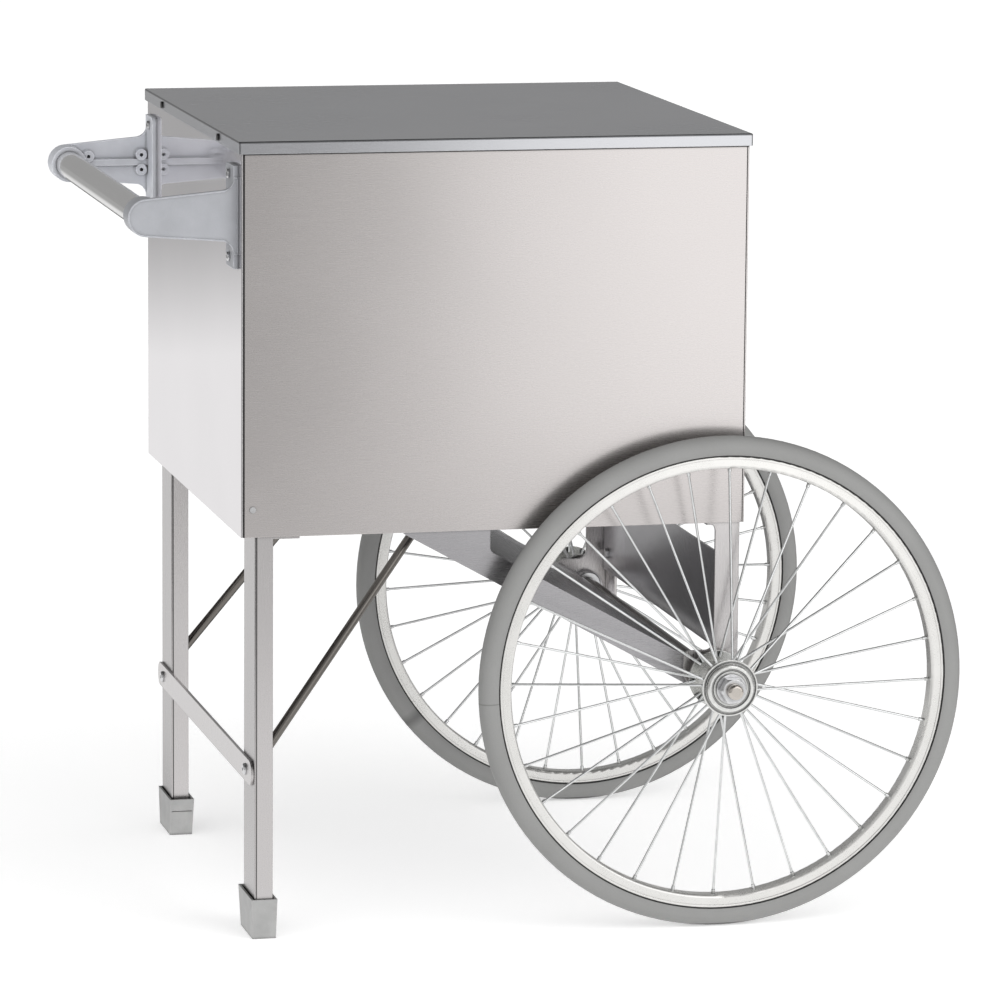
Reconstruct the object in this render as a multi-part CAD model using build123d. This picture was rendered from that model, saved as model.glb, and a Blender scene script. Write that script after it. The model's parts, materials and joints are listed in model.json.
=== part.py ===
from build123d import *
import os
from math import cos, radians, sin, sqrt, tan

# Popcorn cart: a sheet-steel cabinet on two spoked wheels and two legs, pushed by a cast handle.
# Millimetres, +Z up, floor at Z = 0.  The cart is drawn with X = 0 on the outside of the handle
# end of the cabinet and is moved on export, so that its box is centred on the origin.
# -Y is the right-hand side of someone who holds the handle and looks along +X.

# Cabinet
CABINET_LENGTH = 522.0
CABINET_DEPTH = 544.0
CABINET_BOTTOM = 413.5
DECK_TOP = 812.0
DECK_SKIRT = 12.5
DECK_OVERHANG = 3.0
DECK_BEND = 1.5
DECK_SCREW_Y = (-163.0, 163.0)
DECK_SCREW_Z = 805.2
RIVET_X = 11.7
RIVET_Z = 441.6
SHEET = 1.5
CORNER_GAP = 0.8
RETURN = 16.0
FLOOR_UPSTAND = 20.0

# Door in the wheel end, hinged on its left edge
DOOR_HALF_WIDTH = 233.0
DOOR_BOTTOM = 442.0
DOOR_TOP = 773.0
DOOR_GAP = 2.0
DOOR_THICKNESS = 11.0
CATCH_RETURN = 28.0
KNOB_Y = -160.0
KNOB_Z = 607.0
HINGE_AXIS_OUT = 3.3
HINGE_RADIUS = 3.0
HINGE_PIN_RADIUS = 1.5
HINGE_PIN_CLEARANCE = 0.05
HINGE_KNUCKLES = 9
HINGE_LENGTH = 315.0
HINGE_LEAF_WIDTH = 21.0
HINGE_LEAF = 1.2

# Wheels, 20 inch
WHEEL_RADIUS = 254.0
AXLE_X = 492.5
TRACK = 602.0
TYRE_SECTION_RADIUS = 12.5
RIM_OUTER = 234.0
RIM_INNER = 221.5
RIM_WIDTH = 21.0
RIM_WALL = 2.0
RIM_LIP = 2.6
RIM_FACE_SET_BACK = 0.8
TYRE_GROOVE = 1.3
AXLE_RADIUS = 7.94
AXLE_HALF_LENGTH = 360.5
RUNNING_CLEARANCE = 0.06
SPOKE_PAIRS = 8
SPOKE_RADIUS = 1.3
SPOKE_HOLE_CIRCLE = 24.0
SPOKE_HOLE_SPREAD = 4.7
SPOKE_RIM_SPREAD = 11.25
SPOKE_PHASE = 77.35
NIPPLE_RADIUS = 1.9
NIPPLE_LENGTH = 4.5
NIPPLE_HEAD_START = 1.1
NIPPLE_HEAD = 0.8
FLANGE_RADIUS = 29.0
FLANGE = 2.5
HUB_INNER_END = -26.0
INNER_FLANGE = -19.2
OUTER_FLANGE = 31.8
HUB_RADIUS = 17.0
BEARING_RADIUS = 14.0
BEARING_WIDTH = 9.0
DUST_CAP_RADIUS = 24.5
FLANGE_GROOVE = (25.7, 27.6)
FLANGE_GROOVE_DEPTH = 1.5
WASHER = 2.0
LEFT_WHEEL_TURN = 19.35

# Undercarriage
STEEL = 2.5
POST_LEFT = 492.6
POST_RIGHT = 518.0
POST_OUTSIDE = 270.0
POST_WEB = 3.0
POST_FLANGE = 43.0
BRACE_SLOPE = 29.16
BRACE_HEIGHT = 25.4
BRACE_START_X = 168.6
BRACE_PLATE_END = 480.0
GUSSET_END_X = 257.5
GUSSET_CORNER = 8.0
CROSS_PLATE_BOTTOM = 269.5
CROSS_PLATE_TOP = 370.5
CROSS_PLATE_BOLT_Y = 246.0
CROSS_PLATE_BOLT_Z = (290.0, 350.0)

# Legs at the handle end
LEG_LEFT = 14.5
LEG_RIGHT = 33.0
LEG_INSIDE = 210.0
LEG_OUTSIDE = 270.0
FOOT_HEIGHT = 41.0
FOOT_FLOOR = 3.0
STRAP_Z = 169.0
STRAP_HEIGHT = 25.4
STRAP_THICKNESS = 3.0
STRAP_ENDS = (-267.0, 279.0)
STRAP_BOLT_Y = (-235.0, 247.0)
LEG_BRACE_RADIUS = 4.75
LEG_BRACE_FOOT = (17.0, 256.0, 175.0)
LEG_BRACE_HEAD = (198.0, 203.0, 411.0)

# Handle
HANDLE_X = -92.6
HANDLE_Z = 735.7
CUP_RADIUS = 18.9
CUP_INSIDE = 229.0
BAR_RADIUS = 14.3
BAR_WALL = 1.6
BRACKET_OUTSIDE = 257.0
BRACKET_WEB = 6.0
BRACKET_BASE = 5.0
BRACKET_INSIDE = 215.0
BRACKET_BOTTOM = 683.0
BRACKET_TOP = 786.0
BRACKET_SCREW_Y = 233.5
BRACKET_SCREW_Z = (693.0, 776.5)
BOSSES = [(-69.5, 742.5), (-12.0, 743.5), (-12.0, 727.6)]
BOSS_RADIUS = 6.0
BOSS_HOLE_RADIUS = 2.0

# Fasteners
BOLT_RADIUS = 2.9
BOLT_HOLE = 3.1
BOLT_HEAD_HEIGHT = 4.0
BOLT_ACROSS_FLATS = 10.0
NUT_HEIGHT = 4.8
AXLE_NUT_ACROSS_FLATS = 23.8

# Worked out from the above
HALF_DEPTH = CABINET_DEPTH / 2
DECK_UNDERSIDE = DECK_TOP - SHEET
SKIRT_BOTTOM = DECK_TOP - DECK_SKIRT
WHEEL_PLANE = TRACK / 2
WHOLE_LENGTH = CUP_RADIUS - HANDLE_X + AXLE_X + WHEEL_RADIUS
CENTRE_SHIFT = CUP_RADIUS - HANDLE_X - WHOLE_LENGTH / 2
HINGE_X = CABINET_LENGTH + HINGE_AXIS_OUT
HINGE_Y = DOOR_HALF_WIDTH + DOOR_GAP / 2
CAP_FACE = OUTER_FLANGE + FLANGE + 3.0
WASHER_START = WHEEL_PLANE + CAP_FACE + 0.4
UP = (Align.CENTER, Align.CENTER, Align.MIN)

# Where bolts pass up through the cabinet floor: X, Y and the underside of what they clamp
FLANGE_UNDERSIDE = CABINET_BOTTOM - STEEL
BRACE_TAB_UNDERSIDE = FLANGE_UNDERSIDE - STEEL
LEG_BOLTS = [(46.0, 240.0, FLANGE_UNDERSIDE)]
POST_BOLTS = [(500.0, 248.0, FLANGE_UNDERSIDE)]
BRACE_BOLTS = [(190.0, 100.0, FLANGE_UNDERSIDE)]
LEG_BRACE_BOLTS = [(209.0, 203.0, BRACE_TAB_UNDERSIDE)]
FLOOR_BOLTS = LEG_BOLTS + POST_BOLTS + BRACE_BOLTS + LEG_BRACE_BOLTS


def block(x_span, y_span, z_span):
    """A rectangular block between two corners."""
    size = [span[1] - span[0] for span in (x_span, y_span, z_span)]
    middle = [(span[1] + span[0]) / 2 for span in (x_span, y_span, z_span)]
    return Pos(*middle) * Box(*size)


def other_side(shape):
    """The same shape on the other side of the cart."""
    return mirror(shape, about=Plane.XZ)


def both_sides(shape):
    """A shape on the right and its twin on the left."""
    return shape + other_side(shape)


def rod_along(axis, radius, start, end, y=0.0, z=0.0, x=0.0):
    """A round rod along X, Y or Z."""
    if axis == "x":
        return Plane(origin=(start, y, z), z_dir=(1, 0, 0)) * Cylinder(radius, end - start, align=UP)
    if axis == "y":
        return Plane(origin=(x, start, z), z_dir=(0, 1, 0)) * Cylinder(radius, end - start, align=UP)
    return Pos(x, y, start) * Cylinder(radius, end - start, align=UP)


def side_plate(outline, inside, thickness):
    """A plate in the XZ plane on the right side, from `inside` outwards."""
    return extrude(Plane.XZ.offset(inside) * outline, thickness)


def hexagon(axis, across_flats, start, height, x=0.0, y=0.0, z=0.0):
    """A hexagonal head or nut."""
    prism = RegularPolygon(across_flats / 2, 6, major_radius=False)
    if axis == "x":
        return extrude(Plane(origin=(start, y, z), z_dir=(1, 0, 0)) * prism, height)
    if axis == "y":
        return extrude(Plane(origin=(x, start, z), x_dir=(1, 0, 0), z_dir=(0, 1, 0)) * prism, height)
    return extrude(Pos(x, y, start) * prism, height)


def floor_holes(spots):
    """Bolt holes in the cabinet floor and in the flanges under it, on both sides."""
    holes = []
    for x, y, _ in spots:
        for side in (-1, 1):
            low = CABINET_BOTTOM - 12
            holes.append(rod_along("z", BOLT_HOLE, low, CABINET_BOTTOM + 5, y=side * y, x=x))
    return holes


# ---- cabinet ----

def top_deck():
    """Folded tray that closes the top; its skirt hangs outside the cabinet walls."""
    reach = HALF_DEPTH + DECK_OVERHANG
    ends = (-DECK_OVERHANG, CABINET_LENGTH + DECK_OVERHANG)
    outer = block(ends, (-reach, reach), (SKIRT_BOTTOM, DECK_TOP))
    outer = fillet(outer.edges().filter_by(Axis.Z), 2.0)
    outer = fillet(outer.edges().group_by(Axis.Z)[-1], DECK_BEND)
    inner = block(
        (ends[0] + SHEET, ends[1] - SHEET),
        (-reach + SHEET, reach - SHEET),
        (SKIRT_BOTTOM - 1, DECK_UNDERSIDE),
    )
    holes = [rod_along("x", 2.2, -9, CABINET_LENGTH + 9, y=y, z=DECK_SCREW_Z) for y in DECK_SCREW_Y]
    return outer - inner - holes


def deck_screws():
    """Two slotted pan-head screws through the deck skirt at each end."""
    screws = []
    for y in DECK_SCREW_Y:
        for face, outwards in ((-DECK_OVERHANG, -1), (CABINET_LENGTH + DECK_OVERHANG, 1)):
            spans = [sorted((face, face + outwards * reach)) for reach in (1.8, -12.0)]
            head = rod_along("x", 3.6, *spans[0], y=y, z=DECK_SCREW_Z)
            shank = rod_along("x", 2.0, *spans[1], y=y, z=DECK_SCREW_Z)
            slot_span = sorted((face + outwards, face + outwards * 2))
            slot = block(slot_span, (y - 0.5, y + 0.5), (DECK_SCREW_Z - 4, DECK_SCREW_Z + 4))
            screws.append(head + shank - slot)
    return Compound(screws)


def deck_stiffeners():
    """Two open channels under the deck that carry the weight of the popcorn machine."""
    channels = []
    for x in (CABINET_LENGTH / 3, CABINET_LENGTH * 2 / 3):
        outer = block((x - 25, x + 25), (-250, 250), (DECK_UNDERSIDE - 14, DECK_UNDERSIDE))
        inside = (DECK_UNDERSIDE - 15, DECK_UNDERSIDE - SHEET)
        inner = block((x - 25 + SHEET, x + 25 - SHEET), (-251, 251), inside)
        channels.append(outer - inner)
    return Compound(channels)


def end_wall(x_span, return_span):
    """An end wall with a fold at each side behind the side panels and one under the deck."""
    wall = block(x_span, (-HALF_DEPTH, HALF_DEPTH), (CABINET_BOTTOM, DECK_UNDERSIDE))
    fold_out = HALF_DEPTH - SHEET
    for side in (-1, 1):
        edges = sorted((side * (fold_out - SHEET), side * fold_out))
        heights = (CABINET_BOTTOM + SHEET + FLOOR_UPSTAND + 2, DECK_UNDERSIDE - 2 * SHEET)
        wall += block(return_span, edges, heights)
    wall += block(return_span, (-250, 250), (DECK_UNDERSIDE - SHEET, DECK_UNDERSIDE))
    for y in DECK_SCREW_Y:
        wall -= rod_along("x", 2.1, x_span[0] - 1, x_span[1] + 1, y=y, z=DECK_SCREW_Z)
    return wall


def handle_end_panel():
    """Polished wall that carries the handle."""
    wall = end_wall((0, SHEET), (SHEET, RETURN))
    for y in (-BRACKET_SCREW_Y, BRACKET_SCREW_Y):
        for z in BRACKET_SCREW_Z:
            wall -= rod_along("x", 2.6, -1, 3, y=y, z=z)
    return wall


def door_frame_panel():
    """Wall at the wheel end with the door opening and its folded edges."""
    inside = CABINET_LENGTH - SHEET
    wall = end_wall((inside, CABINET_LENGTH), (CABINET_LENGTH - RETURN, inside))
    half = DOOR_HALF_WIDTH + DOOR_GAP
    low = DOOR_BOTTOM - DOOR_GAP
    high = DOOR_TOP + DOOR_GAP
    wall -= block((inside - 1, CABINET_LENGTH + 1), (-half, half), (low, high))
    wall += block((inside - CATCH_RETURN, inside), (-half - SHEET, -half), (low, high))
    wall += block((inside - RETURN, inside), (half, half + SHEET), (low, high))
    return wall


def side_panel():
    """Brushed right wall between the two end walls, folded over at the top."""
    length = (SHEET + CORNER_GAP, CABINET_LENGTH - SHEET - CORNER_GAP)
    wall = block(length, (-HALF_DEPTH, -HALF_DEPTH + SHEET), (CABINET_BOTTOM, DECK_UNDERSIDE))
    wall += block(length, (-HALF_DEPTH + SHEET, -255), (DECK_UNDERSIDE - SHEET, DECK_UNDERSIDE))
    return wall - rod_along("y", 2.1, -HALF_DEPTH - 1, -HALF_DEPTH + 3, x=RIVET_X, z=RIVET_Z)


def side_rivets():
    """One blind rivet low on each side panel, into the fold of the handle end wall."""
    head = rod_along("y", 3.2, -HALF_DEPTH - 0.8, -HALF_DEPTH, x=RIVET_X, z=RIVET_Z)
    shank = rod_along("y", 2.0, -HALF_DEPTH, -HALF_DEPTH + SHEET, x=RIVET_X, z=RIVET_Z)
    rivet = head + shank
    return Compound([rivet, other_side(rivet)])


def cabinet_floor():
    """Floor pan with four upstands, bolted to everything below it."""
    wide = HALF_DEPTH - SHEET - 0.1
    long = (SHEET + 0.1, CABINET_LENGTH - SHEET - 0.1)
    outer = block(long, (-wide, wide), (CABINET_BOTTOM, CABINET_BOTTOM + SHEET + FLOOR_UPSTAND))
    inner = block(
        (long[0] + SHEET, long[1] - SHEET),
        (-wide + SHEET, wide - SHEET),
        (CABINET_BOTTOM + SHEET, CABINET_BOTTOM + SHEET + FLOOR_UPSTAND + 1),
    )
    return outer - inner - floor_holes(FLOOR_BOLTS)


def floor_bolts():
    """Hexagon bolts that hold legs, posts and braces under the floor."""
    bolts = []
    for x, y, underside in FLOOR_BOLTS:
        for side in (-1, 1):
            low = underside - BOLT_HEAD_HEIGHT
            head = hexagon("z", BOLT_ACROSS_FLATS, low, BOLT_HEAD_HEIGHT, x=x, y=side * y)
            top = CABINET_BOTTOM + SHEET + NUT_HEIGHT + 1.5
            bolts.append(head + rod_along("z", BOLT_RADIUS, underside, top, x=x, y=side * y))
    return Compound(bolts)


def floor_nuts():
    """Nuts inside the cabinet for the floor bolts."""
    nuts = []
    for x, y, _ in FLOOR_BOLTS:
        for side in (-1, 1):
            nut = hexagon("z", BOLT_ACROSS_FLATS, CABINET_BOTTOM + SHEET, NUT_HEIGHT, x=x, y=side * y)
            nuts.append(nut - rod_along("z", BOLT_HOLE, CABINET_BOTTOM, CABINET_BOTTOM + 9, x=x, y=side * y))
    return Compound(nuts)


# ---- door ----

def door_skin():
    """Folded outer pan of the door, flush with the wall around it."""
    outer = block(
        (CABINET_LENGTH - DOOR_THICKNESS, CABINET_LENGTH),
        (-DOOR_HALF_WIDTH, DOOR_HALF_WIDTH),
        (DOOR_BOTTOM, DOOR_TOP),
    )
    inner = block(
        (CABINET_LENGTH - DOOR_THICKNESS - 1, CABINET_LENGTH - SHEET),
        (-DOOR_HALF_WIDTH + SHEET, DOOR_HALF_WIDTH - SHEET),
        (DOOR_BOTTOM + SHEET, DOOR_TOP - SHEET),
    )
    return outer - inner


def door_liner():
    """Flat inner sheet that closes the back of the door pan."""
    back = CABINET_LENGTH - DOOR_THICKNESS
    margin = 0.2
    return block(
        (back - HINGE_LEAF, back),
        (-DOOR_HALF_WIDTH + margin, DOOR_HALF_WIDTH - margin),
        (DOOR_BOTTOM + margin, DOOR_TOP - margin),
    )


def door_knob():
    """Turned pull knob."""
    profile = make_face(
        Polyline(
            (0, 0), (9, 0), (9, 2), (5.5, 4), (5.5, 10), (11, 13), (12.5, 16), (11.5, 19.5), (7, 21), (0, 21),
            (0, 0),
        )
    )
    knob = revolve(Plane(origin=(0, 0, 0), x_dir=(0, 0, 1), z_dir=(0, 1, 0)) * profile, Axis.X)
    return Pos(CABINET_LENGTH, KNOB_Y, KNOB_Z) * knob


def door_catch():
    """Magnetic catch on the deep fold of the door frame."""
    half = DOOR_HALF_WIDTH + DOOR_GAP
    front = CABINET_LENGTH - DOOR_THICKNESS - 2 * HINGE_LEAF - 0.4
    body = block((front - 13, front), (-half, -half + 14), (KNOB_Z - 16, KNOB_Z + 16))
    return chamfer(body.edges().filter_by(Axis.X), 1.5)


def door_strike():
    """Steel plate on the back of the door that the magnet holds."""
    back = CABINET_LENGTH - DOOR_THICKNESS - HINGE_LEAF
    widths = (-DOOR_HALF_WIDTH + 1, -DOOR_HALF_WIDTH + 14)
    return block((back - HINGE_LEAF, back), widths, (KNOB_Z - 14, KNOB_Z + 14))


def hinge_leaf(side, first_knuckle):
    """One leaf of the long hinge with every second knuckle."""
    low = (DOOR_BOTTOM + DOOR_TOP - HINGE_LENGTH) / 2
    step = HINGE_LENGTH / HINGE_KNUCKLES
    near = side * (HINGE_RADIUS + 0.6)
    far = side * HINGE_LEAF_WIDTH
    face = CABINET_LENGTH
    widths = sorted((HINGE_Y + near, HINGE_Y + far))
    leaf = block((face, face + HINGE_LEAF), widths, (low, low + HINGE_LENGTH))
    for knuckle in range(first_knuckle, HINGE_KNUCKLES, 2):
        start = low + knuckle * step + 0.2
        end = start + step - 0.4
        leaf += rod_along("z", HINGE_RADIUS, start, end, x=HINGE_X, y=HINGE_Y)
        arm = sorted((HINGE_Y, HINGE_Y + near))
        leaf += block((HINGE_X - HINGE_RADIUS, face + HINGE_LEAF), arm, (start, end))
    bore = HINGE_PIN_RADIUS + HINGE_PIN_CLEARANCE
    return leaf - rod_along("z", bore, low - 1, low + HINGE_LENGTH + 1, x=HINGE_X, y=HINGE_Y)


def hinge_pin():
    """Steel pin that runs through every knuckle."""
    low = (DOOR_BOTTOM + DOOR_TOP - HINGE_LENGTH) / 2
    top = low + HINGE_LENGTH + 1
    pin = rod_along("z", HINGE_PIN_RADIUS, low - 1, top, x=HINGE_X, y=HINGE_Y)
    return pin + rod_along("z", HINGE_RADIUS, top, top + 1.5, x=HINGE_X, y=HINGE_Y)


# ---- handle ----

def bracket_outline(inset=0.0):
    """Side view of the cast arm: round at the bar, flared into the mounting flange."""
    radius = CUP_RADIUS - inset
    flare_top = (-15.0, 761.9 - inset)
    flare_bottom = (-15.0, 710.9 + inset)
    foot_top = (-BRACKET_BASE + 0.3 - inset, 775.0 - inset)
    foot_bottom = (-BRACKET_BASE + 0.3 - inset, 697.0 + inset)
    edge = -inset
    centre = (HANDLE_X, HANDLE_Z)
    top = tangent_point(centre, radius, flare_top, 1)
    bottom = tangent_point(centre, radius, flare_bottom, -1)
    outline = [
        Line(top, flare_top),
        ThreePointArc(flare_top, (-8.0 - inset, 765.6 - inset), foot_top),
        Line(foot_top, (edge, 775.0 - inset)),
        Line((edge, 775.0 - inset), (edge, 697.0 + inset)),
        Line((edge, 697.0 + inset), foot_bottom),
        ThreePointArc(foot_bottom, (-8.0 - inset, 706.4 + inset), flare_bottom),
        Line(flare_bottom, bottom),
        ThreePointArc(bottom, (HANDLE_X - radius, HANDLE_Z), top),
    ]
    return make_face(outline)


def tangent_point(centre, radius, target, side):
    """Where a line from `target` touches the circle; `side` picks the upper or lower touch."""
    dx = target[0] - centre[0]
    dz = target[1] - centre[1]
    distance = sqrt(dx * dx + dz * dz)
    along = radius * radius / distance
    across = side * radius * sqrt(distance * distance - radius * radius) / distance
    ux = dx / distance
    uz = dz / distance
    return (centre[0] + along * ux - across * uz, centre[1] + along * uz + across * ux)


def handle_bracket():
    """Right cast bracket: flange, arm with a raised border, cup for the bar, rib and bosses."""
    web_inside = BRACKET_OUTSIDE - BRACKET_WEB
    flange = block((-BRACKET_BASE, 0), (-BRACKET_OUTSIDE, -BRACKET_INSIDE), (BRACKET_BOTTOM, BRACKET_TOP))
    flange = fillet(flange.edges().filter_by(Axis.X).group_by(Axis.Y)[-1], 6.0)
    arm = side_plate(bracket_outline(), web_inside, BRACKET_WEB)
    border = side_plate(bracket_outline() - bracket_outline(1.6), BRACKET_OUTSIDE, 0.8)
    cup = rod_along("y", CUP_RADIUS, -BRACKET_OUTSIDE, -CUP_INSIDE, x=HANDLE_X, z=HANDLE_Z)
    bracket = flange + arm + border + cup
    rib = (HANDLE_X + CUP_RADIUS - 2, -BRACKET_BASE)
    bracket += block(rib, (-web_inside, -web_inside + 7), (732.2, 738.8))
    for x, z in BOSSES:
        bracket += rod_along("y", BOSS_RADIUS, -web_inside, -web_inside + 9, x=x, z=z)
    for x, z in BOSSES:
        bracket -= rod_along("y", BOSS_HOLE_RADIUS, -web_inside + 1, -web_inside + 10, x=x, z=z)
    bracket -= rod_along("y", BAR_RADIUS + 0.05, -web_inside, -CUP_INSIDE + 1, x=HANDLE_X, z=HANDLE_Z)
    for z in BRACKET_SCREW_Z:
        bracket -= rod_along("x", 2.7, -8, 1, y=-BRACKET_SCREW_Y, z=z)
    return bracket


def handle_bar():
    """Steel tube that sits in the two cups."""
    half = BRACKET_OUTSIDE - BRACKET_WEB
    tube = rod_along("y", BAR_RADIUS, -half, half, x=HANDLE_X, z=HANDLE_Z)
    return tube - rod_along("y", BAR_RADIUS - BAR_WALL, -half - 1, half + 1, x=HANDLE_X, z=HANDLE_Z)


def bracket_screws():
    """Four pan-head screws that hold the brackets to the end wall."""
    screws = []
    for y in (-BRACKET_SCREW_Y, BRACKET_SCREW_Y):
        for z in BRACKET_SCREW_Z:
            head = rod_along("x", 4.8, -BRACKET_BASE - 3, -BRACKET_BASE, y=y, z=z)
            head = fillet(head.edges().sort_by(Axis.X)[0], 1.6)
            socket = hexagon("x", 3.0, -BRACKET_BASE - 4, 2.6, y=y, z=z)
            screws.append(head + rod_along("x", 2.5, -BRACKET_BASE, 8, y=y, z=z) - socket)
    return Compound(screws)


def bracket_nuts():
    """Nuts behind the end wall for the bracket screws."""
    nuts = []
    for y in (-BRACKET_SCREW_Y, BRACKET_SCREW_Y):
        for z in BRACKET_SCREW_Z:
            nut = hexagon("x", 8.0, SHEET, 4.0, y=y, z=z)
            nuts.append(nut - rod_along("x", 2.6, 0, 9, y=y, z=z))
    return Compound(nuts)


# ---- legs ----

def leg():
    """Right leg: folded channel open towards the wheels, with a flange under the floor."""
    channel = block((LEG_LEFT, LEG_RIGHT), (-LEG_OUTSIDE, -LEG_INSIDE), (FOOT_FLOOR, CABINET_BOTTOM))
    channel = fillet(channel.edges().filter_by(Axis.Z).group_by(Axis.X)[0], 2.0)
    hollow = block(
        (LEG_LEFT + STEEL, LEG_RIGHT + 1),
        (-LEG_OUTSIDE + STEEL, -LEG_INSIDE - STEEL),
        (FOOT_FLOOR - 1, FLANGE_UNDERSIDE),
    )
    flange = block((LEG_RIGHT, 60), (-LEG_OUTSIDE, -LEG_INSIDE), (FLANGE_UNDERSIDE, CABINET_BOTTOM))
    shape = channel - hollow + flange
    shape -= rod_along("x", BOLT_HOLE, LEG_LEFT - 1, LEG_LEFT + 4, y=STRAP_BOLT_Y[0], z=STRAP_Z)
    return shape - floor_holes(LEG_BOLTS)


def left_leg():
    """Left leg, with its own strap hole."""
    shape = other_side(leg())
    plug = rod_along("x", BOLT_HOLE, LEG_LEFT, LEG_LEFT + STEEL, y=-STRAP_BOLT_Y[0], z=STRAP_Z)
    hole = rod_along("x", BOLT_HOLE, LEG_LEFT - 1, LEG_LEFT + 4, y=STRAP_BOLT_Y[1], z=STRAP_Z)
    return shape + plug - hole


def foot():
    """Pressed steel shoe around the end of the right leg, wider at the top."""
    lower = Pos(24.2, -239.5, 0) * Rectangle(24.4, 63)
    upper = Pos(24.2, -236.5, FOOT_HEIGHT) * Rectangle(26.4, 74)
    shoe = loft([lower, upper])
    widths = (-LEG_OUTSIDE - 0.4, -LEG_INSIDE + 0.4)
    well = block((LEG_LEFT - 0.4, LEG_RIGHT + 0.4), widths, (FOOT_FLOOR, FOOT_HEIGHT + 1))
    mouth = extrude(Pos(24.2, -236.5, FOOT_HEIGHT - 14) * Rectangle(22.0, 68.5), 20)
    return shoe - well - mouth


def leg_strap():
    """Flat bar with round ends across the two legs."""
    middle = sum(STRAP_ENDS) / 2
    length = STRAP_ENDS[1] - STRAP_ENDS[0]
    face = Plane(origin=(LEG_LEFT - STRAP_THICKNESS, middle, STRAP_Z), x_dir=(0, 1, 0), z_dir=(1, 0, 0))
    bar = extrude(face * RectangleRounded(length, STRAP_HEIGHT, STRAP_HEIGHT / 2 - 0.1), STRAP_THICKNESS)
    for y in STRAP_BOLT_Y:
        bar -= rod_along("x", BOLT_HOLE, 0, 20, y=y, z=STRAP_Z)
    return bar


def strap_bolts():
    """Round-head bolts through strap and leg."""
    bolts = []
    for y in STRAP_BOLT_Y:
        face = LEG_LEFT - STRAP_THICKNESS
        head = rod_along("x", 6.0, face - 3, face, y=y, z=STRAP_Z)
        head = fillet(head.edges().sort_by(Axis.X)[0], 2.2)
        socket = hexagon("x", 3.5, face - 4, 2.8, y=y, z=STRAP_Z)
        shank = rod_along("x", BOLT_RADIUS, face, LEG_LEFT + STEEL + NUT_HEIGHT + 1, y=y, z=STRAP_Z)
        bolts.append(head + shank - socket)
    return Compound(bolts)


def strap_nuts():
    """Nuts inside the leg channels."""
    nuts = []
    for y in STRAP_BOLT_Y:
        nut = hexagon("x", BOLT_ACROSS_FLATS, LEG_LEFT + STEEL, NUT_HEIGHT, y=y, z=STRAP_Z)
        nuts.append(nut - rod_along("x", BOLT_HOLE, 0, 40, y=y, z=STRAP_Z))
    return Compound(nuts)


def leg_brace():
    """Right round brace from inside the leg up and inwards to a tab under the floor."""
    foot_x, foot_y, foot_z = LEG_BRACE_FOOT
    head_x, head_y, head_z = LEG_BRACE_HEAD
    foot_point = Vector(foot_x, -foot_y, foot_z)
    head_point = Vector(head_x, -head_y, head_z)
    line = head_point - foot_point
    start = Plane(origin=foot_point - line * 0.05, z_dir=line)
    rod = start * Cylinder(LEG_BRACE_RADIUS, line.length * 1.1, align=UP)
    rod -= block((-50, LEG_LEFT + STEEL), (-400, 0), (0, 500))
    rod -= block((0, 400), (-400, 0), (FLANGE_UNDERSIDE, 500))
    widths = (-head_y - 11, -head_y + 11)
    tab = block((head_x - 12, head_x + 17), widths, (BRACE_TAB_UNDERSIDE, FLANGE_UNDERSIDE))
    return rod + tab - floor_holes(LEG_BRACE_BOLTS)


# ---- undercarriage ----

def brace_line(x):
    """Height of the lower edge of the axle brace."""
    return FLANGE_UNDERSIDE - (x - BRACE_START_X) * tan(radians(BRACE_SLOPE))


def axle_brace():
    """Wide folded plate from the floor down to the axle, with a cheek and a gusset at each side."""
    rise = BRACE_HEIGHT / cos(radians(BRACE_SLOPE))
    top_x = BRACE_START_X + (rise - STEEL) / tan(radians(BRACE_SLOPE))
    down = (STEEL * sin(radians(BRACE_SLOPE)), STEEL * cos(radians(BRACE_SLOPE)))
    end = (BRACE_PLATE_END, brace_line(BRACE_PLATE_END) + rise)
    section = make_face(
        Polyline(
            (BRACE_START_X, CABINET_BOTTOM),
            (top_x, CABINET_BOTTOM),
            end,
            (end[0] - down[0], end[1] - down[1]),
            (top_x - down[0] / 2, FLANGE_UNDERSIDE),
            (BRACE_START_X, FLANGE_UNDERSIDE),
            (BRACE_START_X, CABINET_BOTTOM),
        )
    )
    outside = POST_OUTSIDE - POST_WEB
    plate = extrude(Plane.XZ.offset(-outside) * section, 2 * outside)
    cheek_face = make_face(
        Polyline(
            (BRACE_START_X, FLANGE_UNDERSIDE),
            (top_x, FLANGE_UNDERSIDE),
            (top_x, CABINET_BOTTOM),
            (GUSSET_END_X, CABINET_BOTTOM),
            (GUSSET_END_X, brace_line(GUSSET_END_X) + rise),
            end,
            (AXLE_X, brace_line(AXLE_X) + rise),
            (AXLE_X, brace_line(AXLE_X)),
            (BRACE_START_X, FLANGE_UNDERSIDE),
        )
    )
    inside_corner = cheek_face.vertices().sort_by_distance((GUSSET_END_X, brace_line(GUSSET_END_X) + rise))[0]
    cheek_face = fillet(inside_corner, GUSSET_CORNER)
    cheek_face += Pos(AXLE_X, WHEEL_RADIUS - 5) * Circle(19)
    cheek = side_plate(cheek_face, outside - STEEL, STEEL)
    bore = rod_along("y", AXLE_RADIUS + 0.02, -300, 300, x=AXLE_X, z=WHEEL_RADIUS)
    return plate + both_sides(cheek) - bore - floor_holes(BRACE_BOLTS + LEG_BRACE_BOLTS)


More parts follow.
